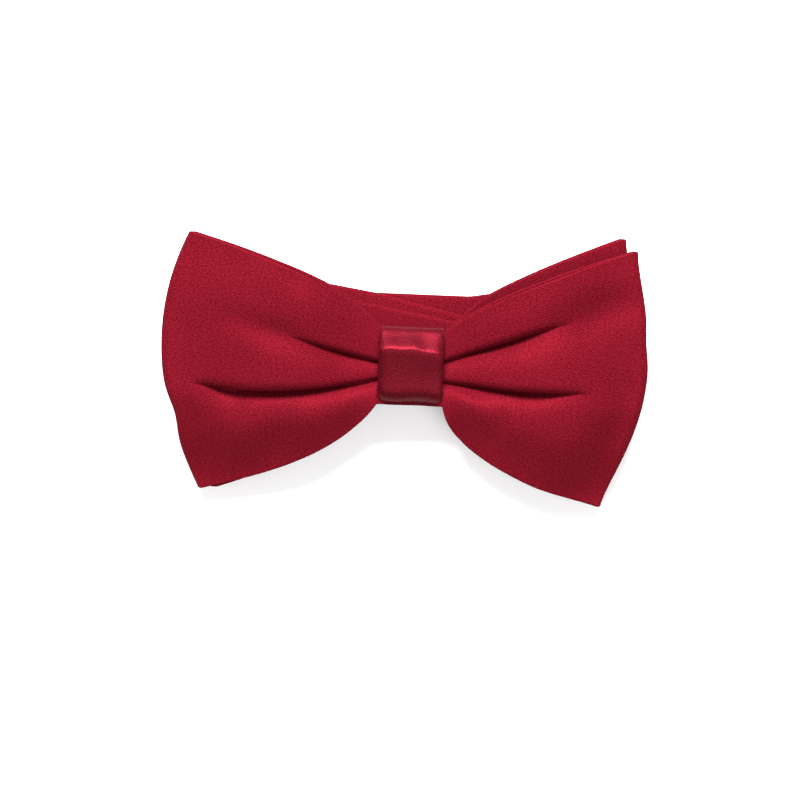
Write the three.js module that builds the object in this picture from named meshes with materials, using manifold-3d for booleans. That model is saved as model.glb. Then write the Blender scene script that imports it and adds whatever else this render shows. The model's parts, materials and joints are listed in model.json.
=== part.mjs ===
// Pre-tied satin bow tie with an adjustable neck strap, lying on its back with the strap folded under it.
// Millimetres. +X runs along the bow, +Y to the bow's upper edge, +Z up out of its front.
// The origin is on the floor, under the middle of the whole tie.
import * as THREE from "three";
import Module from "manifold-3d";

// Driving dimensions.
const BOW_LENGTH = 120;
const WING_HEIGHT = 64;
const KNOT_WIDTH = 16.4;
const KNOT_INNER_HEIGHT = 15;
const STRAP_WIDTH = 20;
const STRAP_THICKNESS = 0.6;
const SLEEVE_THICKNESS = 1.4;
const POCKET_THICKNESS = 0.7;
const INTERLINING_THICKNESS = 0.4;
const GAP = 0.2;
const LEAN_DEGREES = 7.5;
const REAR_BOW_TURN_DEGREES = 1.5;
const REAR_BOW_SCALE = 0.97;

// The four plies of the two bows, held together in the knot.
const PLY_PITCH = SLEEVE_THICKNESS + GAP;
const PLY_STACK_HALF = 2 * PLY_PITCH - GAP / 2;
const PINCH_HALF_HEIGHT = KNOT_INNER_HEIGHT / 2 - 0.5;
const PINCH_HALF_WIDTH = KNOT_WIDTH / 2 + 0.3;
const WING_CORNER_ROUNDING = 0.13;
const PLEAT_DEPTH = 0.5;
const PLEAT_PLACE = 0.35;
const PLEAT_SPREAD = 0.14;
const BINDING_WIDTH = 2;
const BINDING_THICKNESS = 0.5;

// Depths inside the knot, from the middle of the plies.
const BINDING_DEPTH = PLY_STACK_HALF + GAP + BINDING_THICKNESS / 2;
const BINDING_OUTSIDE = BINDING_DEPTH + BINDING_THICKNESS / 2;
const STRAP_DEPTH = BINDING_OUTSIDE + GAP + STRAP_THICKNESS / 2;
const KNOT_FRONT = BINDING_OUTSIDE + GAP + SLEEVE_THICKNESS / 2;
const KNOT_BACK = STRAP_DEPTH + STRAP_THICKNESS / 2 + GAP + SLEEVE_THICKNESS / 2;
const KNOT_HALF_HEIGHT = KNOT_INNER_HEIGHT / 2 + SLEEVE_THICKNESS / 2 + BINDING_THICKNESS + GAP;
const KNOT_CORNER = 2.4;

// Heights of the folded strap's runs above the floor, from the lowest up.
const BAR_RADIUS = 0.4;
const BOW_CLEARANCE = 1.4;
const SIDEWAYS_RUN_SPREAD = 2.1;
const WRAP_RADIUS = BAR_RADIUS + GAP + STRAP_THICKNESS / 2;
const FLOOR_RUN = STRAP_THICKNESS / 2;
const BAR_HEIGHT = FLOOR_RUN + WRAP_RADIUS;
const SEWN_RUN = BAR_HEIGHT + WRAP_RADIUS;
const LOOP_RUN = SEWN_RUN + STRAP_THICKNESS + GAP;
const OUTER_BAR_HEIGHT = LOOP_RUN + STRAP_THICKNESS / 2 + GAP + BAR_RADIUS;
const THIRD_RUN = OUTER_BAR_HEIGHT + BAR_RADIUS + GAP + STRAP_THICKNESS / 2 + 0.1;
const SECOND_RUN = THIRD_RUN + STRAP_THICKNESS + 0.3;
const FIRST_RUN = SECOND_RUN + SIDEWAYS_RUN_SPREAD;
const KNOT_CENTRE_HEIGHT = SECOND_RUN + KNOT_BACK + SLEEVE_THICKNESS / 2 + BOW_CLEARANCE;

// Places along the bow where the strap turns back, and where its hardware sits.
const KNOT_EDGE = KNOT_WIDTH / 2 + 0.8;
const SETTLE_PLACE = 24;
const LEFT_FOLD = -50;
const RIGHT_FOLD = 46;
const OUTER_RIGHT_FOLD = 50;
const STRAP_RISE = 8;
const SLIDE_PLACE = -36;
const EYE_PLACE = 21;
const HOOK_PLACE = 43;
const SEWN_LENGTH = 7;
const TACK_LENGTH = 1.2;
const TACK_THICKNESS = 0.15;
const SLOT_CLEARANCE = 0.4;
const RAIL_WIDTH = 1;
const HARDWARE_THICKNESS = 2 * BAR_RADIUS;

const wasm = await Module();
wasm.setup();

function satin(colour) {
  return new THREE.MeshStandardMaterial({ color: colour, roughness: 0.42, metalness: 0 });
}

function metal(colour) {
  return new THREE.MeshStandardMaterial({ color: colour, roughness: 0.25, metalness: 1 });
}

function smooth(low, high, value) {
  return THREE.MathUtils.smoothstep(value, low, high);
}

// A long thin piece: a section drawn flat, pushed along its length, then bent to follow the stations.
function strip(stations, acrossPlaces, thickness, pocket) {
  const section = new THREE.Shape();
  const half = thickness / 2;
  section.moveTo(acrossPlaces[0], -half);
  acrossPlaces.slice(1).forEach((place) => section.lineTo(place, -half));
  [...acrossPlaces].reverse().forEach((place) => section.lineTo(place, half));
  if (pocket) {
    const hollow = new THREE.Path();
    const inner = acrossPlaces.map((place) => place * pocket.share);
    hollow.moveTo(inner[0], -pocket.thickness / 2);
    inner.slice(1).forEach((place) => hollow.lineTo(place, -pocket.thickness / 2));
    inner.reverse().forEach((place) => hollow.lineTo(place, pocket.thickness / 2));
    section.holes.push(hollow);
  }
  const steps = stations.length - 1;
  const geometry = new THREE.ExtrudeGeometry(section, { depth: steps, steps, bevelEnabled: false });
  const position = geometry.attributes.position;
  for (let i = 0; i < position.count; i += 1) {
    const across = position.getX(i);
    const out = position.getY(i);
    const station = stations[Math.round(position.getZ(i))];
    const point = bend(station, across, out);
    position.setXYZ(i, point.x, point.y, point.z);
  }
  geometry.computeVertexNormals();
  return geometry;
}

// The place of one point of a strip, from its share of the width and its distance off the middle.
function bend(station, across, out) {
  const { x, z, alongX, alongZ, shift, half, roll } = station;
  const cosine = Math.cos(roll);
  const sine = Math.sin(roll);
  const width = across * half;
  return new THREE.Vector3(
    x - out * alongZ * cosine,
    shift + width * cosine - out * alongX * sine,
    z + width * sine + out * alongX * cosine,
  );
}

// Stations along a chain of flat curves; each link gives its width, sideways shift and roll at both ends.
function stationsAlong(links) {
  const stations = [];
  links.forEach(({ curve, divisions, from, to }, index) => {
    for (let i = index === 0 ? 0 : 1; i <= divisions; i += 1) {
      const share = i / divisions;
      const point = curve.getPoint(share);
      const along = curve.getTangent(share);
      stations.push({
        x: point.x,
        z: point.y,
        alongX: along.x,
        alongZ: along.y,
        shift: THREE.MathUtils.lerp(from.shift, to.shift, share),
        half: THREE.MathUtils.lerp(from.half, to.half, share),
        roll: THREE.MathUtils.lerp(from.roll, to.roll, share),
      });
    }
  });
  return stations;
}

function line(x0, z0, x1, z1) {
  return new THREE.LineCurve(new THREE.Vector2(x0, z0), new THREE.Vector2(x1, z1));
}

// A run that leaves and arrives level, changing height between.
function easyRun(x0, z0, x1, z1) {
  const middle = (x0 + x1) / 2;
  return new THREE.CubicBezierCurve(
    new THREE.Vector2(x0, z0),
    new THREE.Vector2(middle, z0),
    new THREE.Vector2(middle, z1),
    new THREE.Vector2(x1, z1),
  );
}

// A half turn about a point at x, from one height to another, on the side given by its sign.
function halfTurn(x, z0, z1, side) {
  const radius = Math.abs(z1 - z0) / 2;
  const start = z1 > z0 ? -Math.PI / 2 : Math.PI / 2;
  const clockwise = (z1 > z0) === (side < 0);
  return new THREE.EllipseCurve(x, (z0 + z1) / 2, radius, radius, start, -start, clockwise);
}

// Half the height of a wing at a distance from the knot.
function wingHalfHeight(x) {
  const reach = BOW_LENGTH / 2 - 8 - PINCH_HALF_WIDTH;
  const share = Math.min(1, Math.max(0, (Math.abs(x) - PINCH_HALF_WIDTH) / reach));
  return PINCH_HALF_HEIGHT + (WING_HEIGHT / 2 - PINCH_HALF_HEIGHT) * share ** 0.53;
}

// The closed path of one bow: back ply, left fold, front ply, right fold, back ply.
function bowStations(backPinch, backEdge, frontEdge, frontPinch) {
  const turn = BOW_LENGTH / 2 - (frontEdge - backEdge) / 2 - SLEEVE_THICKNESS / 2;
  const level = { shift: 0, half: 1, roll: 0 };
  const link = (curve, divisions) => ({ curve, divisions, from: level, to: level });
  const stations = stationsAlong([
    link(line(-0.5, backPinch, -PINCH_HALF_WIDTH, backPinch), 1),
    link(easyRun(-PINCH_HALF_WIDTH, backPinch, -turn, backEdge), 7),
    link(halfTurn(-turn, backEdge, frontEdge, -1), 5),
    link(easyRun(-turn, frontEdge, -PINCH_HALF_WIDTH, frontPinch), 7),
    link(line(-PINCH_HALF_WIDTH, frontPinch, PINCH_HALF_WIDTH, frontPinch), 1),
    link(easyRun(PINCH_HALF_WIDTH, frontPinch, turn, frontEdge), 7),
    link(halfTurn(turn, frontEdge, backEdge, 1), 5),
    link(easyRun(turn, backEdge, PINCH_HALF_WIDTH, backPinch), 7),
    link(line(PINCH_HALF_WIDTH, backPinch, 0.5, backPinch), 1),
  ]);
  stations.forEach((station) => {
    station.half = wingHalfHeight(station.x);
  });
  return stations;
}

// Rounds the wing's outer edge and presses two shallow pleats beside the knot.
function shapeWing(geometry) {
  const position = geometry.attributes.position;
  for (let i = 0; i < position.count; i += 1) {
    const x = position.getX(i);
    const y = position.getY(i);
    const z = position.getZ(i);
    const reach = Math.abs(x);
    const across = y / wingHalfHeight(x);
    const rounding = WING_CORNER_ROUNDING * across ** 2 * smooth(20, BOW_LENGTH / 2, reach);
    const fade = smooth(PINCH_HALF_WIDTH, 14, reach) * (1 - smooth(18, 45, reach));
    const pleat = Math.exp(-(((Math.abs(across) - PLEAT_PLACE) / PLEAT_SPREAD) ** 2));
    position.setXYZ(i, x * (1 - rounding), y, z - PLEAT_DEPTH * fade * pleat);
  }
  return geometry;
}

const ACROSS_WING = [-1, -0.7, -PLEAT_PLACE, 0, PLEAT_PLACE, 0.7, 1];
const ACROSS_FLAT = [-1, 1];
const POCKET = { share: 0.95, thickness: POCKET_THICKNESS };
const INTERLINING_SHARE = 0.92;

const FRONT_BOW = [PLY_PITCH / 2, 1.2, 5.2, 1.5 * PLY_PITCH];
const REAR_BOW = [-1.5 * PLY_PITCH, -3.6, -0.9, -PLY_PITCH / 2];

function bowSleeve(heights) {
  return shapeWing(strip(bowStations(...heights), ACROSS_WING, SLEEVE_THICKNESS, POCKET));
}

function bowInterlining(heights) {
  const across = ACROSS_WING.map((place) => place * INTERLINING_SHARE);
  return shapeWing(strip(bowStations(...heights), across, INTERLINING_THICKNESS));
}

// The rear bow is a little smaller and sits a little turned, so its upper right corner shows.
function asRearBow(geometry) {
  geometry.scale(REAR_BOW_SCALE, 1, 1);
  return geometry.rotateZ(THREE.MathUtils.degToRad(REAR_BOW_TURN_DEGREES));
}

// A ring around the plies, open by a small seam at the middle of its back.
function ringStations(halfHeight, front, back, corner, halfWidth, seam) {
  const level = { shift: 0, half: halfWidth, roll: 0 };
  const quarter = (x, z, start) =>
    new THREE.EllipseCurve(x, z, corner, corner, start, start - Math.PI / 2, true);
  const link = (curve, divisions) => ({ curve, divisions, from: level, to: level });
  const side = halfHeight - corner;
  return stationsAlong([
    link(line(-seam / 2, -back, -side, -back), 1),
    link(quarter(-side, corner - back, -Math.PI / 2), 4),
    link(line(-halfHeight, corner - back, -halfHeight, front - corner), 1),
    link(quarter(-side, front - corner, Math.PI), 4),
    link(line(-side, front, side, front), 2),
    link(quarter(side, front - corner, Math.PI / 2), 4),
    link(line(halfHeight, front - corner, halfHeight, corner - back), 1),
    link(quarter(side, corner - back, 0), 4),
    link(line(side, -back, seam / 2, -back), 1),
  ]);
}

function knotRing(thickness, share, pocket) {
  const half = (share * KNOT_WIDTH) / 2;
  const stations = ringStations(KNOT_HALF_HEIGHT, KNOT_FRONT, KNOT_BACK, KNOT_CORNER, half, 0.8);
  return strip(stations, ACROSS_FLAT, thickness, pocket).rotateZ(Math.PI / 2);
}

function gatherBinding() {
  const halfHeight = PINCH_HALF_HEIGHT + GAP + BINDING_THICKNESS / 2;
  const stations = ringStations(halfHeight, BINDING_DEPTH, BINDING_DEPTH, 0.6, BINDING_WIDTH / 2, 0.6);
  return strip(stations, ACROSS_FLAT, BINDING_THICKNESS).rotateZ(Math.PI / 2);
}

// A zigzag of stitches across the seam at the back of the knot.
function knotSeamThread() {
  const stitches = 6;
  const endMargin = 1.5;
  const pitch = (KNOT_WIDTH - 2 * endMargin) / stitches;
  const thread = 0.45;
  const reach = 1.2;
  const there = [];
  for (let i = 0; i <= stitches; i += 1) {
    there.push([(i - stitches / 2) * pitch, i % 2 === 0 ? -reach : reach]);
  }
  const back = there.map(([x, y]) => [x, y + thread * 1.5]).reverse();
  const outline = [...there, ...back].map(([x, y]) => new THREE.Vector2(x, y));
  const depth = 0.3;
  const geometry = new THREE.ExtrudeGeometry(new THREE.Shape(outline), { depth, bevelEnabled: false });
  return geometry.translate(0, -thread, -KNOT_BACK - SLEEVE_THICKNESS / 2 - 0.1 - depth);
}

// Leans the bow and knot back onto the folded strap.
function leanBow(geometry) {
  geometry.rotateX(THREE.MathUtils.degToRad(LEAN_DEGREES));
  return geometry.translate(0, 0, KNOT_CENTRE_HEIGHT);
}

const LEAN = THREE.MathUtils.degToRad(LEAN_DEGREES);
const STRAP_IN_KNOT = {
  height: KNOT_CENTRE_HEIGHT - STRAP_DEPTH * Math.cos(LEAN),
  shift: STRAP_DEPTH * Math.sin(LEAN),
};

// One satin band from the hook's loop, under the bow and through the knot, to the eye's loop.
function neckStrap() {
  const half = STRAP_WIDTH / 2;
  const narrow = PINCH_HALF_HEIGHT - 0.4;
  const at = (shift, width = half, roll = 0) => ({ shift, half: width, roll });
  const link = (curve, divisions, from, to = from) => ({ curve, divisions, from, to });
  const low = at(STRAP_RISE);
  const held = at(STRAP_IN_KNOT.shift, narrow, LEAN);
  const rightTop = at(6);
  const rightSettled = at(3);
  const leftSettled = at(4);
  const leftTop = at(12);
  const crossing = at(3.3);
  const rightLow = at(-5);
  const leftBack = at(14);
  const innerPlace = 12;
  const eyeStep = EYE_PLACE - 5;
  const knotZ = STRAP_IN_KNOT.height;
  const hookLoop = [
    link(line(HOOK_PLACE + SEWN_LENGTH, SEWN_RUN, HOOK_PLACE, SEWN_RUN), 1, low),
    link(halfTurn(HOOK_PLACE, SEWN_RUN, FLOOR_RUN, -1), 8, low),
    link(line(HOOK_PLACE, FLOOR_RUN, OUTER_RIGHT_FOLD, FLOOR_RUN), 2, low),
    link(halfTurn(OUTER_RIGHT_FOLD, FLOOR_RUN, FIRST_RUN, 1), 8, low, rightTop),
  ];
  const throughKnot = [
    link(line(OUTER_RIGHT_FOLD, FIRST_RUN, SETTLE_PLACE, FIRST_RUN), 2, rightTop, rightSettled),
    link(easyRun(SETTLE_PLACE, FIRST_RUN, KNOT_EDGE, knotZ), 4, rightSettled, held),
    link(line(KNOT_EDGE, knotZ, -KNOT_EDGE, knotZ), 1, held),
    link(easyRun(-KNOT_EDGE, knotZ, -SETTLE_PLACE, FIRST_RUN), 4, held, leftSettled),
    link(line(-SETTLE_PLACE, FIRST_RUN, LEFT_FOLD, FIRST_RUN), 2, leftSettled, leftTop),
  ];
  const middleRuns = [
    link(halfTurn(LEFT_FOLD, FIRST_RUN, SECOND_RUN, -1), 8, leftTop),
    link(line(LEFT_FOLD, SECOND_RUN, 0, SECOND_RUN), 2, leftTop, crossing),
    link(line(0, SECOND_RUN, RIGHT_FOLD, SECOND_RUN), 2, crossing, rightLow),
    link(halfTurn(RIGHT_FOLD, SECOND_RUN, THIRD_RUN, 1), 6, rightLow),
    link(line(RIGHT_FOLD, THIRD_RUN, innerPlace, THIRD_RUN), 2, rightLow, crossing),
    link(line(innerPlace, THIRD_RUN, LEFT_FOLD, THIRD_RUN), 3, crossing, leftBack),
  ];
  const eyeLoop = [
    link(halfTurn(LEFT_FOLD, THIRD_RUN, LOOP_RUN, -1), 6, leftBack, low),
    link(line(LEFT_FOLD, LOOP_RUN, eyeStep, LOOP_RUN), 3, low),
    link(easyRun(eyeStep, LOOP_RUN, EYE_PLACE, SEWN_RUN), 4, low),
    link(halfTurn(EYE_PLACE, SEWN_RUN, FLOOR_RUN, 1), 8, low),
  ];
  const links = [...hookLoop, ...throughKnot, ...middleRuns, ...eyeLoop];
  return strip(stationsAlong(links), ACROSS_FLAT, STRAP_THICKNESS);
}

// The doubled end of the strap, from the eye's loop back to the slide, turned round its middle bar.
function strapReturn() {
  const low = { shift: STRAP_RISE, half: STRAP_WIDTH / 2, roll: 0 };
  const link = (curve, divisions) => ({ curve, divisions, from: low, to: low });
  return strip(stationsAlong([
    link(line(EYE_PLACE - GAP, FLOOR_RUN, SLIDE_PLACE, FLOOR_RUN), 2),
    link(halfTurn(SLIDE_PLACE, FLOOR_RUN, SEWN_RUN, -1), 8),
    link(line(SLIDE_PLACE, SEWN_RUN, SLIDE_PLACE + SEWN_LENGTH, SEWN_RUN), 1),
  ]), ACROSS_FLAT, STRAP_THICKNESS);
}

function toManifold(geometry) {
  const position = geometry.attributes.position;
  const found = new Map();
  const places = [];
  const corners = [];
  for (let i = 0; i < position.count; i += 1) {
    const spot = [position.getX(i), position.getY(i), position.getZ(i)].map((value) => value.toFixed(5));
    const key = spot.join(" ");
    if (!found.has(key)) {
      found.set(key, places.length / 3);
      places.push(...spot.map(Number));
    }
    corners.push(found.get(key));
  }
  const order = geometry.index ? [...geometry.index.array].map((i) => corners[i]) : corners;
  const triangles = [];
  for (let i = 0; i < order.length; i += 3) {
    const [a, b, c] = order.slice(i, i + 3);
    if (a !== b && b !== c && c !== a) {
      triangles.push(a, b, c);
    }
  }
  return new wasm.Manifold(new wasm.Mesh({
    numProp: 3,
    vertProperties: new Float32Array(places),
    triVerts: new Uint32Array(triangles),
  }));
}

function joined(geometries) {
  const solid = geometries.map(toManifold).reduce((whole, piece) => whole.add(piece));
  const mesh = solid.getMesh();
  const geometry = new THREE.BufferGeometry();
  geometry.setAttribute("position", new THREE.BufferAttribute(new Float32Array(mesh.vertProperties), 3));
  geometry.setIndex(new THREE.BufferAttribute(new Uint32Array(mesh.triVerts), 1));
  const plain = geometry.toNonIndexed();
  plain.computeVertexNormals();
  return plain;
}

function bar(x, z, halfLength) {
  return new THREE.CylinderGeometry(BAR_RADIUS, BAR_RADIUS, 2 * halfLength, 12).translate(x, STRAP_RISE, z);
}

// Three bars between two side rails: the middle bar holds the sewn end, the outer two keep the strap down.
function slideAdjuster() {
  const inside = STRAP_WIDTH / 2 + SLOT_CLEARANCE;
  const rail = RAIL_WIDTH;
  const barSpread = 3.8;
  const railLength = 2 * barSpread + 1.4;
  const bottom = BAR_HEIGHT - BAR_RADIUS - 0.1;
  const top = OUTER_BAR_HEIGHT + BAR_RADIUS + 0.05;
  const pieces = [-1, 1].map((side) =>
    new THREE.BoxGeometry(railLength, rail, top - bottom)
      .translate(SLIDE_PLACE, STRAP_RISE + side * (inside + rail / 2), (top + bottom) / 2));
  pieces.push(bar(SLIDE_PLACE, BAR_HEIGHT, inside + rail / 2));
  pieces.push(bar(SLIDE_PLACE - barSpread, OUTER_BAR_HEIGHT, inside + rail / 2));
  pieces.push(bar(SLIDE_PLACE + barSpread, OUTER_BAR_HEIGHT, inside + rail / 2));
  return joined(pieces);
}

// A flat plate with a slot for the strap; it narrows away from the strap.
function slottedPlate(length, tipHalf, holes) {
  const inside = STRAP_WIDTH / 2 + SLOT_CLEARANCE;
  const outside = inside + RAIL_WIDTH;
  const slotEnd = 2.1;
  const shoulder = slotEnd + 0.8;
  const corner = slotEnd + 1.6;
  const waist = slotEnd + 2;
  const neck = slotEnd + 2.4;
  const flare = 3;
  const shape = new THREE.Shape();
  shape.moveTo(-BAR_RADIUS, -outside);
  shape.lineTo(shoulder, -outside);
  shape.quadraticCurveTo(corner, -outside, waist, -tipHalf - flare);
  shape.quadraticCurveTo(neck, -tipHalf, length, -tipHalf);
  shape.lineTo(length, tipHalf);
  shape.quadraticCurveTo(neck, tipHalf, waist, tipHalf + flare);
  shape.quadraticCurveTo(corner, outside, shoulder, outside);
  shape.lineTo(-BAR_RADIUS, outside);
  shape.closePath();
  const slot = new THREE.Path();
  slot.moveTo(BAR_RADIUS, -inside);
  slot.lineTo(slotEnd, -inside);
  slot.lineTo(slotEnd, inside);
  slot.lineTo(BAR_RADIUS, inside);
  slot.closePath();
  shape.holes.push(slot, ...holes);
  const options = { depth: HARDWARE_THICKNESS, bevelEnabled: false, curveSegments: 5 };
  return new THREE.ExtrudeGeometry(shape, options).translate(0, 0, -HARDWARE_THICKNESS / 2);
}

function eye() {
  const hole = new THREE.Path();
  hole.absellipse(6.2, 0, 1.4, 2.2, 0, 2 * Math.PI, true);
  return slottedPlate(9, 3.6, [hole]).translate(EYE_PLACE, STRAP_RISE, BAR_HEIGHT);
}

// A plate whose tongue turns up and back over itself to catch the eye.
function hook() {
  const plate = slottedPlate(8, 2.2, []);
  const profile = new THREE.Shape();
  const rootPlace = 7;
  const tipPlace = 6.4;
  const bendPlace = 9.6;
  const bendRadius = 1.1;
  const half = HARDWARE_THICKNESS / 2;
  profile.moveTo(rootPlace, -half);
  profile.lineTo(bendPlace, -half);
  profile.absarc(bendPlace, bendRadius, bendRadius + half, -Math.PI / 2, Math.PI / 2, false);
  profile.lineTo(tipPlace, 2 * bendRadius + half);
  profile.lineTo(tipPlace, 2 * bendRadius - half);
  profile.lineTo(bendPlace, 2 * bendRadius - half);
  profile.absarc(bendPlace, bendRadius, bendRadius - half, Math.PI / 2, -Math.PI / 2, true);
  profile.lineTo(rootPlace, half);
  profile.closePath();
  const tongueWidth = 3.4;
  const options = { depth: tongueWidth, bevelEnabled: false, curveSegments: 8 };
  const tongue = new THREE.ExtrudeGeometry(profile, options)
    .translate(0, 0, -tongueWidth / 2)
    .rotateX(Math.PI / 2);
  return joined([plate, tongue])
    .rotateZ(Math.PI)
    .translate(HOOK_PLACE, STRAP_RISE, BAR_HEIGHT);
}

// A dense row of stitches through a sewn strap end, just above the top layer.
function barTack(x, z) {
  return new THREE.BoxGeometry(TACK_LENGTH, STRAP_WIDTH - 6, TACK_THICKNESS).translate(x, STRAP_RISE, z);
}

const tie = new THREE.Group();
tie.name = "bow_tie";

function add(name, geometry, material) {
  const mesh = new THREE.Mesh(geometry, material);
  mesh.name = name;
  tie.add(mesh);
}

add("front_bow_sleeve", leanBow(bowSleeve(FRONT_BOW)), satin(0xa81f38));
add("front_bow_interlining", leanBow(bowInterlining(FRONT_BOW)), satin(0xe6dfd2));
add("rear_bow_sleeve", leanBow(asRearBow(bowSleeve(REAR_BOW))), satin(0x8f1a30));
add("rear_bow_interlining", leanBow(asRearBow(bowInterlining(REAR_BOW))), satin(0xded6c8));
add("gather_binding", leanBow(gatherBinding()), satin(0x6e1224));
add("knot_band", leanBow(knotRing(SLEEVE_THICKNESS, 1, POCKET)), satin(0xb02540));
add("knot_interlining", leanBow(knotRing(INTERLINING_THICKNESS, INTERLINING_SHARE)), satin(0xe2dacd));
add("knot_seam_thread", leanBow(knotSeamThread()), satin(0x7a1428));
add("neck_strap", neckStrap(), satin(0x9c1c34));
add("strap_return", strapReturn(), satin(0x941a31));
add("slide_adjuster", slideAdjuster(), metal(0xc8c8cc));
add("eye", eye(), metal(0xc4c4c8));
add("hook", hook(), metal(0xc0c0c4));
add("hook_bar_tack", barTack(HOOK_PLACE + SEWN_LENGTH - 2, SEWN_RUN + 0.48), satin(0x701326));
add("slide_bar_tack", barTack(SLIDE_PLACE + SEWN_LENGTH - 1.6, SEWN_RUN + 0.39), satin(0x6a1224));

// Puts the origin under the middle of the finished tie.
const bounds = new THREE.Box3().setFromObject(tie);
const middle = bounds.getCenter(new THREE.Vector3());
tie.children.forEach((mesh) => mesh.geometry.translate(-middle.x, -middle.y, -bounds.min.z));

export default tie;
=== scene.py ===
"""Looks of a pre-tied satin bow tie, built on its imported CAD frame. Metres, in the frame's own axes."""
import json
import math

import bpy
import numpy as np
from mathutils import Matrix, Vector, noise


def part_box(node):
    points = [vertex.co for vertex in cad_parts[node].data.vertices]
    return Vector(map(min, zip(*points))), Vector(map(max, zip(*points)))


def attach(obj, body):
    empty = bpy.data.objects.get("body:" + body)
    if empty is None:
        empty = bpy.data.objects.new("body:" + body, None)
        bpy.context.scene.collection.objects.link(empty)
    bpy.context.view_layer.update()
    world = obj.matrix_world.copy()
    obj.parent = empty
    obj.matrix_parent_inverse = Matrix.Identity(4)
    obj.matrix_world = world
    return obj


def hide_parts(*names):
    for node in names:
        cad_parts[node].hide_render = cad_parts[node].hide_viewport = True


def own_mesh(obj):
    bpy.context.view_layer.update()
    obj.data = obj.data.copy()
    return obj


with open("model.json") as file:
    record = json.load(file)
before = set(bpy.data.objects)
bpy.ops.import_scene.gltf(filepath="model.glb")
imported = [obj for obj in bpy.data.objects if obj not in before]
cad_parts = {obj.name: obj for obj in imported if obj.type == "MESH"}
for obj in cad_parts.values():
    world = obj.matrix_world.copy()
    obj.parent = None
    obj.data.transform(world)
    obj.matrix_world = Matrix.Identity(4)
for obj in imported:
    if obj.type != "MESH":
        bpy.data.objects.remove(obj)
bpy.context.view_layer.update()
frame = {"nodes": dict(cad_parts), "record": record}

bl_info = {
    "name": "Bow tie",
    "version": (1, 0, 0),
    "blender": (4, 5, 0),
    "location": "3D View > Sidebar > Bow Tie",
    "description": "Builds a pre-tied satin bow tie with its pleated bows, knot, strap and metal parts",
    "category": "Object",
}

MM = 0.001

# Places read from the frame.
BINDING_LOW, BINDING_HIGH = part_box("gather_binding")
KNOT_LOW, KNOT_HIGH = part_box("knot_band")
RETURN_LOW, RETURN_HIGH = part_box("strap_return")
SLIDE_LOW, SLIDE_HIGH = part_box("slide_adjuster")
JOINTS = {joint["name"]: joint for joint in frame["record"]["behaviour"]["joints"]}

BOW_CENTRE = (BINDING_LOW + BINDING_HIGH) / 2
LEAN = math.radians(7.5)
KNOT_EDGE = (KNOT_HIGH.x - KNOT_LOW.x) / 2 / MM

# The bows' grid: rows along a wing and round its side fold, rows across the knot, columns below, between and
# above the two creases, and how closely the columns crowd beside a crease.
ROWS = 120
FOLD_STEPS = 16
ACROSS_STEPS = 8
COLUMNS = (44, 36, 46)
CLOSENESS = 0.8

# Half the height of the gathered wing at the knot, what it gains by the side, and how early it gains it.
GATHERED_HALF = 9
SPREAD_HALF = 22
SPREAD_POWER = 0.6

# A crease, in millimetres: the share of the way out by which it is full, its lip's width at the knot, the
# steep and the wide part of the slope above its lip, how many lips wide that is, and how far the fold hangs
# over it.
CREASE_FULL = 0.3
KNOT_LIP = 0.35
STEEP_SHARE = 0.88
STEEP_POWER = 1.5
WIDE_SHARE = 0.12
WIDE_LIPS = 8
OVERHANG = 0.17

# The front ply, in millimetres above the middle of the plies: its height at the knot, how far it swells, how
# far it falls again by the side, how far its edges turn down, and the deepest that a crease may go.
FRONT_AT_KNOT = 4.6
FRONT_SWELL = 4.4
FRONT_FALL = 5.2
TOP_EDGE_DROP = 0.5
BOTTOM_EDGE_DROP = 2.0
DEEPEST = 2.1

# How much the knot squeezes the bow's height, and how far the lower half sags, which begins at one distance
# below the middle and is whole at another.
KNOT_SQUEEZE = 0.14
SAG_START = 8
SAG_END = 34
SAG_SHARE = 0.42
SAG_DROP = 0.8

# The rear bow: the height of its front ply, its width and its lower half's height as shares of the front
# bow's, its turn, the share of its height that the knot leaves it and the share that it gains again outside,
# its lift there, and its unevenness.
REAR_FACE = -0.9
REAR_SCALE = 0.97
REAR_LOWER_SCALE = 0.965
REAR_TURN = math.radians(2.1)
REAR_HELD = 0.86
REAR_FREED = 0.14
REAR_LIFT = 0.7
REAR_UNEVENNESS = 0.15


def to_row(points):
    """Turns millimetres in the leaning bow's own axes into metres in the row frame."""
    cosine, sine = math.cos(LEAN), math.sin(LEAN)
    x, y, z = points[..., 0], points[..., 1], points[..., 2]
    leaning = np.stack([x, y * cosine - z * sine, y * sine + z * cosine], axis=-1)
    return leaning * MM + np.array(BOW_CENTRE)


def ease(low, high, value):
    """0 below low, 1 above high, and smooth between."""
    share = np.clip((value - low) / (high - low), 0, 1)
    return share * share * (3 - 2 * share)


# ---------------------------------------------------------------- cloth surfaces

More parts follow.
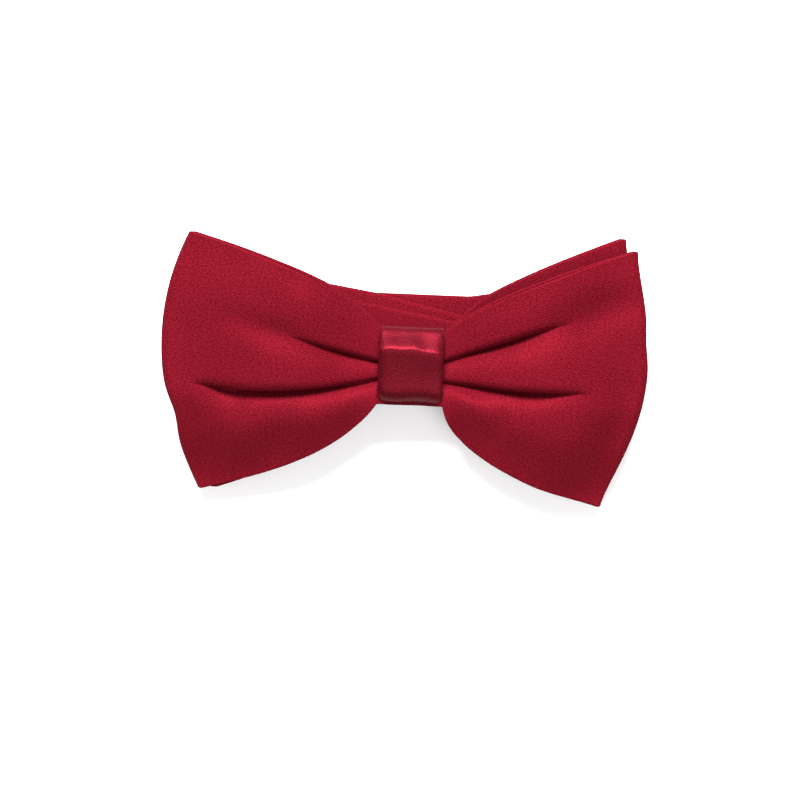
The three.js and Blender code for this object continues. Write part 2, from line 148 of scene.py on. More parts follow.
class Wing:
    """One side of a bow: its outline, its pleat creases and their depths, in millimetres from the knot.

    top and bottom hold the edge's height at the knot and at the side, its corner's distance, and how early
    it spreads (power and lead). bulge is how far the side swells, how evenly and how skewed. nip is the
    place, width and depth of the side's hollow. A crease's path is its height at the knot, halfway and at the
    side, lip is what its lip's width gains by the side, slope is the width of its lower slope at the knot and
    at the side, start is the share of its depth that it has at the knot, and fade is where it dies away.
    """

    def __init__(self, side, top, bottom, bulge, nip, upper, lower, dents):
        self.side = side
        self.top = top
        self.bottom = bottom
        self.bulge, self.bulge_power, self.bulge_skew = bulge
        self.nip_place, self.nip_width, self.nip_depth = nip
        self.upper = upper
        self.lower = lower
        self.dents = dents

    def edge_height(self, edge, s):
        """Height of the upper or lower edge a share s of the way out: quick at first, then flatter."""
        start, end, _, power, lead = edge
        share = ((s + lead) ** power - lead ** power) / ((1 + lead) ** power - lead ** power)
        return start + (end - start) * share

    def outline(self, s, v):
        """Distance from the knot and height of the point a share s out and v across."""
        upward = (1 + v) / 2
        corner = self.bottom[2] + (self.top[2] - self.bottom[2]) * upward
        swell = self.bulge * (1 - v * v) ** self.bulge_power * (1 + self.bulge_skew * v)
        nipped = self.nip_depth * np.exp(-((v - self.nip_place) / self.nip_width) ** 2)
        reach = corner + swell - nipped
        x = KNOT_EDGE + (reach - KNOT_EDGE) * s
        y = self.edge_height(self.top, s) * upward - self.edge_height(self.bottom, s) * (1 - upward)
        return x, y

    def crease_place(self, crease, s):
        """Where a crease lies across the wing, from its heights at the knot, halfway and at the side."""
        start, middle, end = crease["path"]
        height = start * (1 - s) * (1 - 2 * s) + 4 * middle * s * (1 - s) + end * s * (2 * s - 1)
        top = self.edge_height(self.top, s)
        bottom = self.edge_height(self.bottom, s)
        return (2 * height - top + bottom) / (top + bottom)

    def columns(self, s):
        """Where the lines of points run across the wing: close together beside each crease, all its way."""
        edge = np.ones_like(s)
        stops = [-edge, self.crease_place(self.lower, s), self.crease_place(self.upper, s), edge]
        parts = []
        for low, high, count in zip(stops, stops[1:], COLUMNS):
            share = np.arange(count)[None, :] / count
            share = share - CLOSENESS * np.sin(2 * math.pi * share) / (2 * math.pi)
            parts.append(low + (high - low) * share)
        return np.concatenate(parts + [edge], axis=1)

    def pleats(self, s, v):
        """Each crease as a pocket: how far the ply sinks, and how far the fold above it hangs over it."""
        sunk = np.zeros_like(s * v)
        hung = np.zeros_like(s * v)
        half_height = GATHERED_HALF + SPREAD_HALF * s ** SPREAD_POWER
        for crease in (self.upper, self.lower):
            grown = crease["start"] + (1 - crease["start"]) * ease(0, CREASE_FULL, s)
            shown = grown * (1 - ease(crease["fade"][0], crease["fade"][1], s))
            distance = (v - self.crease_place(crease, s)) * half_height
            above = np.maximum(distance, 0)
            near, far = crease["slope"]
            slope = near + (far - near) * s
            lip = KNOT_LIP + crease["lip"] * s
            steep = STEEP_SHARE * np.exp(-(above / lip) ** STEEP_POWER)
            wide = WIDE_SHARE * np.exp(-above / (WIDE_LIPS * lip))
            below = np.exp(np.minimum(distance, 0) / slope)
            depth = crease["depth"] * shown
            sunk += depth * np.where(distance > 0, steep + wide, below)
            hung += OVERHANG * depth * above / lip * np.exp(1 - above / lip)
        return sunk, hung

    def soft_dents(self, x, y):
        """Broad hollows (below zero) and swellings (above zero) of the front ply.

        Each is its distance out, its height, its length, its width, its turn in degrees and how far it stands
        out.
        """
        total = np.zeros_like(x)
        for across, up, long, short, turn, height in self.dents:
            angle = math.radians(turn)
            dx, dy = x - across, y - up
            u = dx * math.cos(angle) + dy * math.sin(angle)
            w = dy * math.cos(angle) - dx * math.sin(angle)
            total += height * np.exp(-(u / long) ** 2 - (w / short) ** 2)
        return total


LEFT_WING = Wing(
    -1,
    top=(9.5, 31.1, 55.7, 0.38, 0.08),
    bottom=(8.9, 32.3, 51.7, 0.32, 0.08),
    bulge=(7.7, 1.0, 0.10),
    nip=(-0.42, 0.17, 1.2),
    upper={"path": (1.9, 7.8, 13.5), "lip": 1.2, "slope": (1.8, 6.0),
           "depth": 6.0, "start": 0.75, "fade": (0.10, 0.45)},
    lower={"path": (-2.5, -6.1, -5.7), "lip": 0.8, "slope": (1.8, 8.0),
           "depth": 7.0, "start": 0.70, "fade": (0.66, 0.92)},
    dents=((33, -19, 8, 4, -70, -1.1), (44, -20, 9, 6, -60, 1.5), (33, 7.5, 12, 3.6, 16, -1.4),
           (26, 15, 9, 5, 35, 0.6), (48, 17, 8, 8, 0, 0.4), (50, -24, 6, 4, -40, -0.5)),
)
RIGHT_WING = Wing(
    1,
    top=(9.0, 30.6, 54.5, 0.60, 0.08),
    bottom=(8.9, 32.9, 48.6, 0.42, 0.005),
    bulge=(6.7, 1.4, -0.06),
    nip=(0.30, 0.16, 0.6),
    upper={"path": (2.6, 11.0, 17.0), "lip": 1.2, "slope": (1.8, 6.0),
           "depth": 6.2, "start": 0.75, "fade": (0.25, 0.68)},
    lower={"path": (-2.6, -4.0, -5.0), "lip": 0.8, "slope": (1.6, 8.5),
           "depth": 7.0, "start": 0.70, "fade": (0.38, 0.78)},
    dents=((23, -12, 4, 2.2, 80, -0.8), (15, -8, 5, 2.5, -30, 1.0), (20, -15, 7, 4, -50, -1.5),
           (36, -25, 11, 7, 40, 3.0), (50, -18, 9, 3.5, 70, -0.8), (42, 14, 16, 5.5, 20, -2.1),
           (44, 24, 8, 4, 10, 0.5)),
)


def front_height(s):
    """Height of the front bow's smooth front ply above the middle of the plies."""
    return FRONT_AT_KNOT + FRONT_SWELL * ease(0, 0.40, s) - FRONT_FALL * ease(0.50, 1.0, s)


def rear_height(s):
    """Height of the rear bow's front ply, which lies flat."""
    return np.full_like(s, REAR_FACE)


def wrinkle(points, size, depth, seed):
    """Gentle unevenness of hand-folded cloth, the same on every run."""
    flat = points.reshape(-1, 3) / size
    values = [noise.noise(Vector((p[0] + seed, p[1] - seed, 0.37 * seed))) for p in flat]
    return depth * np.array(values).reshape(points.shape[:-1])


def wing_ply(wing, s, v, height, pleated, scale):
    """Points of one ply of a wing, for columns of s and rows of v."""
    x, y = wing.outline(s, v)
    z = height + np.zeros_like(x)
    if pleated:
        sunk, hung = wing.pleats(s, v)
        z = np.maximum(z - sunk + wing.soft_dents(x, y), DEEPEST)
        y = y - hung
        top_drop = TOP_EDGE_DROP * ease(0.72, 1.0, v) * ease(0.0, 0.4, s)
        bottom_drop = BOTTOM_EDGE_DROP * ease(0.50, 1.0, -v) * ease(0.0, 0.15, s)
        z = z - top_drop - bottom_drop
    return np.stack([wing.side * x * scale, y, z], axis=-1)


def wing_loop(wing, back, front, pleated, scale):
    """Rows of points from the knot along the back ply, round the side fold and back along the front ply."""
    back_s = np.linspace(0, 1, ROWS // 3)[:, None]
    front_s = np.linspace(1, 0, ROWS)[:, None]
    back_rows = wing_ply(wing, back_s, wing.columns(back_s), back(back_s), False, scale)
    front_rows = wing_ply(wing, front_s, wing.columns(front_s), front(front_s), pleated, scale)
    radius = (front_rows[0, :, 2] - back_rows[-1, :, 2]) / 2
    middle = (front_rows[0, :, 2] + back_rows[-1, :, 2]) / 2
    pull = radius[None, :]
    back_rows[..., 0] -= wing.side * pull * back_s ** 3
    front_rows[..., 0] -= wing.side * pull * front_s ** 3
    angles = np.linspace(-math.pi / 2, math.pi / 2, FOLD_STEPS)[1:-1, None]
    fold = np.empty((len(angles), len(radius), 3))
    fold[..., 0] = back_rows[-1, :, 0] + wing.side * radius * np.cos(angles)
    fold[..., 1] = back_rows[-1, :, 1]
    fold[..., 2] = middle + radius * np.sin(angles)
    return np.concatenate([back_rows, fold, front_rows])


def bow_surface(back_edge, front, pinch_back, pinch_front, pleated, scale=1.0):
    """The closed run of one bow: left loop, across the knot's front, right loop, across the knot's back."""
    def back(s):
        return pinch_back + (back_edge - pinch_back) * ease(0, 0.8, s)

    left = wing_loop(LEFT_WING, back, front, pleated, scale)
    right = wing_loop(RIGHT_WING, back, front, pleated, scale)[::-1]
    across_front = np.linspace(left[-1], right[0], ACROSS_STEPS)[1:-1]
    across_back = np.linspace(right[-1], left[0], ACROSS_STEPS)[1:-1]
    squeeze = np.sin(np.linspace(0, math.pi, ACROSS_STEPS - 2))[:, None] * KNOT_SQUEEZE
    for run, level in ((across_front, pinch_front), (across_back, pinch_back)):
        run[..., 1] *= 1 - squeeze
        run[..., 2] = level
    return np.concatenate([left, across_front, right, across_back])


def front_bow_surface(unevenness):
    """The front bow, with its pleated front ply and the unevenness of its cloth outside the knot."""
    bow = bow_surface(back_edge=1.0, front=front_height, pinch_back=0.8, pinch_front=2.6, pleated=True)
    bow[..., 2] += wrinkle(bow, 9.0, unevenness, seed=3.0) * ease(9, 16, np.abs(bow[..., 0]))
    return bow


def rear_bow_surface():
    """The rear bow: smaller, plain, a little turned and lifted, so that it shows above the front one."""
    bow = bow_surface(back_edge=-3.6, front=rear_height, pinch_back=-2.4, pinch_front=-0.8,
                      pleated=False, scale=REAR_SCALE)
    bow[..., 2] += wrinkle(bow, 14.0, REAR_UNEVENNESS, seed=8.0) * ease(9, 20, np.abs(bow[..., 0]))
    x = bow[..., 0].copy()
    y = np.where(bow[..., 1] < 0, REAR_LOWER_SCALE, 1.0) * bow[..., 1]
    freed = ease(7, 20, np.abs(x))
    y = y * (REAR_HELD + REAR_FREED * freed) + REAR_LIFT * freed
    bow[..., 0] = x * math.cos(REAR_TURN) - y * math.sin(REAR_TURN)
    bow[..., 1] = x * math.sin(REAR_TURN) + y * math.cos(REAR_TURN)
    return bow


def rested(points):
    """Lets the lower half of a bow sag towards the floor, as limp cloth does."""
    low = ease(SAG_START * MM, SAG_END * MM, -points[..., 1])
    points[..., 2] -= low * (SAG_SHARE * points[..., 2] + SAG_DROP * MM)
    return points


def section_rows(middle, half_thickness, closed):
    """Offsets a sheet's middle surface to a thin padded section with rolled edges."""
    if closed:
        padded = np.concatenate([middle[-1:], middle, middle[:1]])
        along = (padded[2:] - padded[:-2]) / 2
    else:
        along = np.gradient(middle, axis=0)
    across = np.gradient(middle, axis=1)
    normal = np.cross(along, across)
    normal /= np.linalg.norm(normal, axis=-1, keepdims=True) + 1e-12
    edge = across / (np.linalg.norm(across, axis=-1, keepdims=True) + 1e-12)

    def rolled(column, outward_sign, upward_sign, angle):
        """One line of the rolled edge beside a column, an angle away from the sheet's face."""
        raised = upward_sign * math.cos(angle) * normal[:, column]
        pushed = outward_sign * math.sin(angle) * edge[:, column]
        return middle[:, column] + half_thickness * (raised + pushed)

    first, last = slice(0, 1), slice(-1, None)
    slanted, level = math.pi / 4, math.pi / 2
    return np.concatenate([
        rolled(first, -1, 1, level), rolled(first, -1, 1, slanted), middle + half_thickness * normal,
        rolled(last, 1, 1, slanted), rolled(last, 1, 1, level), rolled(last, 1, -1, slanted),
        (middle - half_thickness * normal)[:, ::-1], rolled(first, -1, -1, slanted),
    ], axis=1)


def closing_faces(order):
    """The faces that close both ends of an open strip; order is the grid of its points' numbers."""
    rows, count = order.shape
    faces = []
    for row, turn in ((0, -1), (rows - 1, 1)):
        for j in range(count // 2):
            corners = [j, j + 1, (count - j - 1) % count, (count - j) % count]
            ring = []
            for corner in corners[::turn]:
                index = int(order[row, corner])
                if index not in ring:
                    ring.append(index)
            faces.append(ring)
    return faces


def add_cloth_map(mesh, middle, half_thickness):
    """Adds the UV map that follows the cloth, in metres along and across it, round its rolled edges too."""
    length = np.linalg.norm(np.diff(middle, axis=0), axis=-1).max(axis=1)
    along = np.concatenate([[0], np.cumsum(length)])
    width = np.linalg.norm(np.diff(middle, axis=1), axis=-1)
    across = np.concatenate([np.zeros((len(middle), 1)), np.cumsum(width, axis=1)], axis=1)
    across -= across[:, -1:] / 2
    roll = half_thickness * math.pi / 4
    first = across[:, :1]
    last = across[:, -1:]
    ring = np.concatenate([first - 2 * roll, first - roll, across, last + roll, last + 2 * roll,
                           last + roll, across[:, ::-1], first - roll], axis=1)
    layer = mesh.uv_layers.new(name="Cloth")
    corner_vertex = np.empty(len(mesh.loops), np.int32)
    mesh.loops.foreach_get("vertex_index", corner_vertex)
    coordinates = np.stack([np.repeat(along, ring.shape[1]), ring.reshape(-1)], axis=-1)[corner_vertex]
    layer.data.foreach_set("uv", coordinates.astype(np.float32).ravel())


def cloth_mesh(name, middle, half_thickness, closed):
    """A thin closed sheet from its middle surface; closed means that its ends meet."""
    section = section_rows(middle, half_thickness, closed)
    rows, count = section.shape[:2]
    order = np.arange(rows * count).reshape(rows, count)
    lower = order if closed else order[:-1]
    upper = np.roll(order, -1, axis=0) if closed else order[1:]
    corners = [lower, np.roll(lower, -1, axis=1), np.roll(upper, -1, axis=1), upper]
    faces = np.stack(corners, axis=-1).reshape(-1, 4).tolist()
    if not closed:
        faces += closing_faces(order)
    mesh = bpy.data.meshes.new(name)
    mesh.from_pydata(section.reshape(-1, 3).tolist(), [], faces)
    add_cloth_map(mesh, middle, half_thickness)
    mesh.validate()
    mesh.update()
    mesh.shade_smooth()
    piece = bpy.data.objects.new(name, mesh)
    bpy.context.collection.objects.link(piece)
    turn_outward(piece)
    return piece


def turn_outward(piece):
    """Turns the faces outward if the closed mesh came out inside out."""
    mesh = piece.data
    mesh.calc_loop_triangles()
    corners = np.array([triangle.vertices[:] for triangle in mesh.loop_triangles])
    place = np.array([vertex.co[:] for vertex in mesh.vertices])
    a, b, c = place[corners[:, 0]], place[corners[:, 1]], place[corners[:, 2]]
    if np.einsum("ij,ij->i", a, np.cross(b, c)).sum() < 0:
        mesh.flip_normals()


# ---------------------------------------------------------------- knot

KNOT_COLUMNS = 56
KNOT_ROWS = 170
KNOT_HALF_THICK = 0.35
KNOT_INSET = 0.5

# The knot's crest and foot, in millimetres from its middle, with the tilt and ripples of hand-pulled cloth,
# and how far its two sides fall away.
CREST_HEIGHT = 4.0
CREST_ARCH = 0.8
CREST_ARCH_SPAN = 17
CREST_TILT = 0.05
CREST_RIPPLE = 0.12
FOOT_HEIGHT = -6.9
FOOT_RIPPLE = 0.3
EDGE_DROP = -0.35
EDGE_POWER = 10


def closed_spline(controls, count):
    """A smooth closed curve near its control points, for every column at once."""
    spans = len(controls)
    place = np.linspace(0, spans, count, endpoint=False)
    first = np.floor(place).astype(int)
    t = (place - first)[:, None, None]
    weights = ((1 - t) ** 3 / 6, (3 * t ** 3 - 6 * t ** 2 + 4) / 6,
               (-3 * t ** 3 + 3 * t ** 2 + 3 * t + 1) / 6, t ** 3 / 6)
    return sum(weight * controls[(first + i) % spans] for i, weight in enumerate(weights))


def knot_surface():
    """The satin band round the middle: a flat face that leans down, a wavy crest, and a slope behind it."""
    x = np.linspace(-1, 1, KNOT_COLUMNS) * (KNOT_EDGE - KNOT_INSET)
    arch = CREST_ARCH * np.cos(math.pi * x / CREST_ARCH_SPAN)
    crest = CREST_HEIGHT + arch - CREST_TILT * x + CREST_RIPPLE * np.sin(x * 1.1 + 1)
    foot = FOOT_HEIGHT + FOOT_RIPPLE * np.sin(x * 0.55 + 0.5)
    edge = EDGE_DROP * (np.abs(x) / (KNOT_EDGE - KNOT_INSET)) ** EDGE_POWER
    flat = np.zeros_like(x)
    # Points round the band, from its back: height up the bow, and distance in front of the bow's middle.
    outline = [
        (flat - 1, flat - 5.9), (flat - 7.8, flat - 5.7), (flat - 9.4, flat - 3.2), (flat - 9.6, flat + 1.2),
        (foot - 1.3, 4.3 + edge), (foot + 0.6, 6.0 + edge), (foot + 3.6, 6.1 + edge),
        (flat - 0.6, 6.5 + edge),
        (crest - 2.2, 7.1 + edge), (crest - 0.5, 7.5 + edge), (crest + 0.2, 7.5 + edge),
        (crest + 1.3, 6.7 + edge), (flat + 8.2, 4.9 + edge), (flat + 10.0, 3.8 + edge),
        (flat + 10.0, flat + 1.5), (flat + 9.1, flat - 2.0), (flat + 7.4, flat - 5.2),
        (flat + 3.5, flat - 6.0),
    ]
    controls = np.array([np.stack(pair, axis=-1) for pair in outline])
    ring = closed_spline(controls, KNOT_ROWS)[::-1]
    points = np.empty((*ring.shape[:2], 3))
    points[..., 0] = x
    points[..., 1:] = ring
    return points


# ---------------------------------------------------------------- strap

# Millimetres. The runs are heights of the strap's middle above the floor, from the lowest to the highest.
STRAP_COLUMNS = 24
STRAP_HALF = (RETURN_HIGH.y - RETURN_LOW.y) / 2 / MM
STRAP_RISE = (RETURN_HIGH.y + RETURN_LOW.y) / 2 / MM
STRAP_HALF_THICK = 0.3
FLOOR_RUN = STRAP_HALF_THICK
SEWN_RUN = RETURN_HIGH.z / MM - STRAP_HALF_THICK
LOOP_GAP = 0.8
SLIDE_OVERLAP = 0.05
LAYER_GAP = 0.9
TOP_GAP = 2.1
LOOP_RUN = SEWN_RUN + LOOP_GAP
THIRD_RUN = SLIDE_HIGH.z / MM - SLIDE_OVERLAP + 2 * STRAP_HALF_THICK
SECOND_RUN = THIRD_RUN + LAYER_GAP
FIRST_RUN = SECOND_RUN + TOP_GAP

# Where the strap turns back, where its third run bends, and where it meets the metal parts.
LEFT_FOLD = -50
RIGHT_FOLD = 46
OUTER_FOLD = 50
RIGHT_BEND = 12
LEFT_BEND = -8
EYE_PLACE = JOINTS["eye_swing"]["pos_m"][0] / MM
HOOK_PLACE = JOINTS["hook_swing"]["pos_m"][0] / MM
SLIDE_PLACE = (SLIDE_LOW.x + SLIDE_HIGH.x) / 2 / MM
SLIDE_TRAVEL = JOINTS["slide_travel"]["range_m"][1] / MM
EYE_DRIFT = 0.9
EYE_LEVEL = 1
EYE_RAMP = 5
EYE_SLACK = 0.2
SEWN_LENGTH = 7.5

# Behind the knot: how deep the strap lies, its half width there, and how far out it is flat again.
KNOT_STRAP_DEPTH = 4.3
KNOT_STRAP_HALF = 6.6
KNOT_STRAP_GAP = 0.8
KNOT_SETTLE = 24


def straight(start, end, steps):
    """A level or sloping run between two rows."""
    share = np.linspace(0, 1, steps)[:, None]
    return np.array(start) + (np.array(end) - np.array(start)) * share


def eased(start, end, steps):
    """A run that changes height in one smooth step."""
    share = np.linspace(0, 1, steps)
    rows = straight(start, end, steps)
    rows[:, 1] = start[1] + (end[1] - start[1]) * ease(0, 1, share)
    return rows


def drifted(rows):
    """Lets the strap drift up a little before the eye, beyond the slide's reach."""
    slide_reach = SLIDE_PLACE + SLIDE_TRAVEL + (SLIDE_HIGH.x - SLIDE_LOW.x) / 2 / MM
    rows[:, 2] += EYE_DRIFT * ease(slide_reach, EYE_PLACE - EYE_LEVEL, rows[:, 0])
    return rows


def turned(x, start, end, side, steps=14):
    """A half turn at x between two heights; start and end are (height, rise, half width, roll)."""
    share = np.linspace(0, 1, steps)
    radius = (end[0] - start[0]) / 2
    swing = np.cos(share * math.pi)
    rows = np.empty((steps, 5))
    rows[:, 0] = x + side * abs(radius) * np.sin(share * math.pi)
    rows[:, 1] = (start[0] + end[0]) / 2 - radius * swing
    for i in (1, 2, 3):
        rows[:, i + 1] = start[i] + (end[i] - start[i]) * share
    return rows


def ribbon_surface(parts):
    """The middle surface of a flat band; a row is x, height, rise, half width and roll."""
    rows = np.concatenate([parts[0]] + [part[1:] for part in parts[1:]])
    x, z, rise, half, roll = rows.T
    v = np.linspace(-1, 1, STRAP_COLUMNS)[None, :]
    y_out = rise[:, None] + v * (half * np.cos(roll))[:, None]
    z_out = z[:, None] + v * (half * np.sin(roll))[:, None]
    return np.stack([x[:, None] + 0 * v, y_out, z_out], axis=-1) * MM


def strap_at(rise):
    """A flat place of the strap: its rise in the floor's plane, its half width and no roll."""
    return (rise, STRAP_HALF, 0.0)


def strap_surface():
    """The neck strap, zigzagged behind the bow: from the hook, through the knot, to and fro to the eye."""
    low = strap_at(STRAP_RISE)
    outer = strap_at(5.7)
    knot_left, knot_right = strap_at(3.7), strap_at(2.7)
    left, middle, right = strap_at(11.7), strap_at(3.0), strap_at(-5.3)
    third_right, third_middle, third_left = strap_at(2.9), strap_at(7.4), strap_at(13.7)
    at_eye = strap_at(STRAP_RISE + EYE_DRIFT)
    centre = BOW_CENTRE / MM
    held_z = centre.z - KNOT_STRAP_DEPTH * math.cos(LEAN)
    held = (centre.y + KNOT_STRAP_DEPTH * math.sin(LEAN), KNOT_STRAP_HALF, LEAN)
    edge = KNOT_EDGE + KNOT_STRAP_GAP
    ramp_start = EYE_PLACE - EYE_RAMP
    return ribbon_surface([
        straight((HOOK_PLACE + SEWN_LENGTH, SEWN_RUN, *low), (HOOK_PLACE, SEWN_RUN, *low), 5),
        turned(HOOK_PLACE, (SEWN_RUN, *low), (FLOOR_RUN, *low), -1),
        straight((HOOK_PLACE, FLOOR_RUN, *low), (OUTER_FOLD, FLOOR_RUN, *low), 5),
        turned(OUTER_FOLD, (FLOOR_RUN, *low), (FIRST_RUN, *outer), 1, 22),
        straight((OUTER_FOLD, FIRST_RUN, *outer), (KNOT_SETTLE, FIRST_RUN, *knot_right), 10),
        eased((KNOT_SETTLE, FIRST_RUN, *knot_right), (edge, held_z, *held), 12),
        straight((edge, held_z, *held), (-edge, held_z, *held), 6),
        eased((-edge, held_z, *held), (-KNOT_SETTLE, FIRST_RUN, *knot_left), 12),
        straight((-KNOT_SETTLE, FIRST_RUN, *knot_left), (LEFT_FOLD, FIRST_RUN, *left), 12),
        turned(LEFT_FOLD, (FIRST_RUN, *left), (SECOND_RUN, *left), -1),
        straight((LEFT_FOLD, SECOND_RUN, *left), (0, SECOND_RUN, *middle), 24),
        straight((0, SECOND_RUN, *middle), (RIGHT_FOLD, SECOND_RUN, *right), 24),
        turned(RIGHT_FOLD, (SECOND_RUN, *right), (THIRD_RUN, *right), 1),
        straight((RIGHT_FOLD, THIRD_RUN, *right), (RIGHT_BEND, THIRD_RUN, *third_right), 16),
        straight((RIGHT_BEND, THIRD_RUN, *third_right), (LEFT_BEND, THIRD_RUN, *third_middle), 12),
        straight((LEFT_BEND, THIRD_RUN, *third_middle), (LEFT_FOLD, THIRD_RUN, *third_left), 20),
        turned(LEFT_FOLD, (THIRD_RUN, *third_left), (LOOP_RUN, *low), -1),
        drifted(straight((LEFT_FOLD, LOOP_RUN, *low), (ramp_start, LOOP_RUN, *low), 50)),
        drifted(eased((ramp_start, LOOP_RUN, *low), (EYE_PLACE, SEWN_RUN, *low), 10)),
        turned(EYE_PLACE, (SEWN_RUN, *at_eye), (FLOOR_RUN, *low), 1),
    ])


def doubled_run_surface():
    """The run along the floor from the eye to the slide's bar."""
    low = strap_at(STRAP_RISE)
    start = (EYE_PLACE - EYE_SLACK, FLOOR_RUN, *low)
    end = (SLIDE_PLACE, FLOOR_RUN, *low)
    return ribbon_surface([straight(start, end, 30)])


def sewn_end_surface():
    """The end of the strap, turned round the slide's bar and sewn down, which travels with the slide."""
    low = strap_at(STRAP_RISE)
    return ribbon_surface([
        turned(SLIDE_PLACE, (FLOOR_RUN, *low), (SEWN_RUN, *low), -1),
        straight((SLIDE_PLACE, SEWN_RUN, *low), (SLIDE_PLACE + SEWN_LENGTH, SEWN_RUN, *low), 6),
    ])


# ---------------------------------------------------------------- materials

def linear(hex_colour):
    """A colour written as sRGB hex, as linear light."""
    value = hex_colour.lstrip("#")
    parts = [int(value[i:i + 2], 16) / 255 for i in (0, 2, 4)]
    return [p / 12.92 if p <= 0.04045 else ((p + 0.055) / 1.055) ** 2.4 for p in parts] + [1.0]


def add_node(tree, kind, settings=None, values=None, links=None):
    """One shader node with its settings, its socket values and what is linked into it."""
    node = tree.nodes.new(kind)
    for name, value in (settings or {}).items():
        setattr(node, name, value)
    for name, value in (values or {}).items():
        node.inputs[name].default_value = value
    for name, socket in (links or {}).items():
        tree.links.new(socket, node.inputs[name])
    return node


def new_material(name):
    """An empty material of that name, and its node tree."""
    material = bpy.data.materials.new(name)
    material.use_nodes = True
    tree = material.node_tree
    tree.nodes.clear()
    return material, tree


def finish_material(tree, shader):
    """Links the shader to the material's output."""
    add_node(tree, "ShaderNodeOutputMaterial", links={"Surface": shader.outputs[0]})


def satin(name, rib=0.10, metallic=0.22, dull=0.54, glint=0.02, shades=("#420208", "#61111d")):
    """Burgundy twill satin: fine slanting ribs, a grain with painted glints, and red-tinted gloss, so folds
    shade softly.

    The ribs wander over about 6 mm, the grain is about 0.4 mm and the cloth clouds over about 18 mm.
    """
    twill_pitch = bpy.context.scene.tie_sizes.twill_pitch
    material, tree = new_material(name)
    cloth = add_node(tree, "ShaderNodeUVMap", {"uv_map": "Cloth"})
    # Real ribs lie 0.45 mm apart, too fine to show; they are drawn as coarse as they need to be to show.
    steepness = 2 * math.pi / twill_pitch
    turn = math.radians(55)
    ribs = add_node(tree, "ShaderNodeVectorMath", {"operation": "DOT_PRODUCT"},
                    links={0: cloth.outputs["UV"]})
    ribs.inputs[1].default_value = (steepness * math.cos(turn), steepness * math.sin(turn), 0)
    drift = add_node(tree, "ShaderNodeTexNoise", values={"Scale": 160.0, "Detail": 2.0},
                     links={"Vector": cloth.outputs["UV"]})
    wander = add_node(tree, "ShaderNodeMath", {"operation": "MULTIPLY_ADD"},
                      links={0: drift.outputs["Fac"], 2: ribs.outputs["Value"]})
    # Noise bends the ribs by up to 2.4 radians of their wave, as woven threads never run quite straight.
    wander.inputs[1].default_value = 2.4
    wave = add_node(tree, "ShaderNodeMath", {"operation": "SINE"}, links={0: wander.outputs[0]})
    # The satin's floating threads run along the cloth, so its grain is longer that way.
    floats = add_node(tree, "ShaderNodeMapping", {"vector_type": "POINT"}, {"Scale": (0.6, 1.0, 1.0)},
                      {"Vector": cloth.outputs["UV"]})
    grain_with_painted_glint = add_node(tree, "ShaderNodeTexNoise", values={"Scale": 2600.0, "Detail": 1.0},
                     links={"Vector": floats.outputs["Vector"]})
    relief = add_node(tree, "ShaderNodeMath", {"operation": "MULTIPLY_ADD"},
                      links={0: wave.outputs[0], 2: grain_with_painted_glint.outputs["Fac"]})
    relief.inputs[1].default_value = rib
    bump = add_node(tree, "ShaderNodeBump", values={"Strength": 0.4, "Distance": 0.00012},
                    links={"Height": relief.outputs[0]})
    # Where the grain peaks, the ramp's lighter, pinker colour is a painted glint of the satin's floats.
    # Across the ribs, it is their own darker and lighter tone.
    colours = add_node(tree, "ShaderNodeValToRGB", links={"Fac": relief.outputs[0]})
    colours.color_ramp.elements[0].position = 0.22
    colours.color_ramp.elements[0].color = linear(shades[0])
    colours.color_ramp.elements[1].position = 0.78
    colours.color_ramp.elements[1].color = linear(shades[1])
    cloudy = add_node(tree, "ShaderNodeTexNoise", values={"Scale": 55.0, "Detail": 3.0},
                      links={"Vector": cloth.outputs["UV"]})
    shade = add_node(tree, "ShaderNodeMapRange", values={"To Min": 0.90, "To Max": 1.08},
                     links={"Value": cloudy.outputs["Fac"]})
    mottled = add_node(tree, "ShaderNodeVectorMath", {"operation": "SCALE"},
                       links={0: colours.outputs["Color"], "Scale": shade.outputs[0]})
    gloss = add_node(tree, "ShaderNodeMapRange", values={"To Min": dull - 0.05, "To Max": dull + 0.08},
                     links={"Value": grain_with_painted_glint.outputs["Fac"]})
    # Cloth seen edge-on shows its cut yarns, not its floats, so the gloss dies away there.
    slant = add_node(tree, "ShaderNodeLayerWeight", values={"Blend": 0.5})
    sheen = add_node(tree, "ShaderNodeMapRange",
                     values={"From Min": 0.15, "From Max": 0.55, "To Min": metallic, "To Max": 0.0},
                     links={"Value": slant.outputs["Facing"]})
    spark = add_node(tree, "ShaderNodeMapRange",
                     values={"From Min": 0.15, "From Max": 0.55, "To Min": glint, "To Max": 0.0},
                     links={"Value": slant.outputs["Facing"]})
    shader = add_node(tree, "ShaderNodeBsdfPrincipled",
                      links={"Base Color": mottled.outputs[0], "Metallic": sheen.outputs[0],
                             "Specular IOR Level": spark.outputs[0], "Roughness": gloss.outputs[0],
                             "Normal": bump.outputs[0]})
    shader.inputs["Specular Tint"].default_value = linear("#ff5c68")
    finish_material(tree, shader)
    return material


def taut_satin_with_painted_shade(name):
    """The same satin pulled tight round the knot: a sharper crest of light, and darker colours as painted
    shade.
    """
    # The darker shades are painted shade on the knot's face, which leans down away from the light, on top of
    # what its lean gives.
    return satin(name, rib=0.22, metallic=0.46, dull=0.33, glint=0.16, shades=("#310206", "#500e19"))


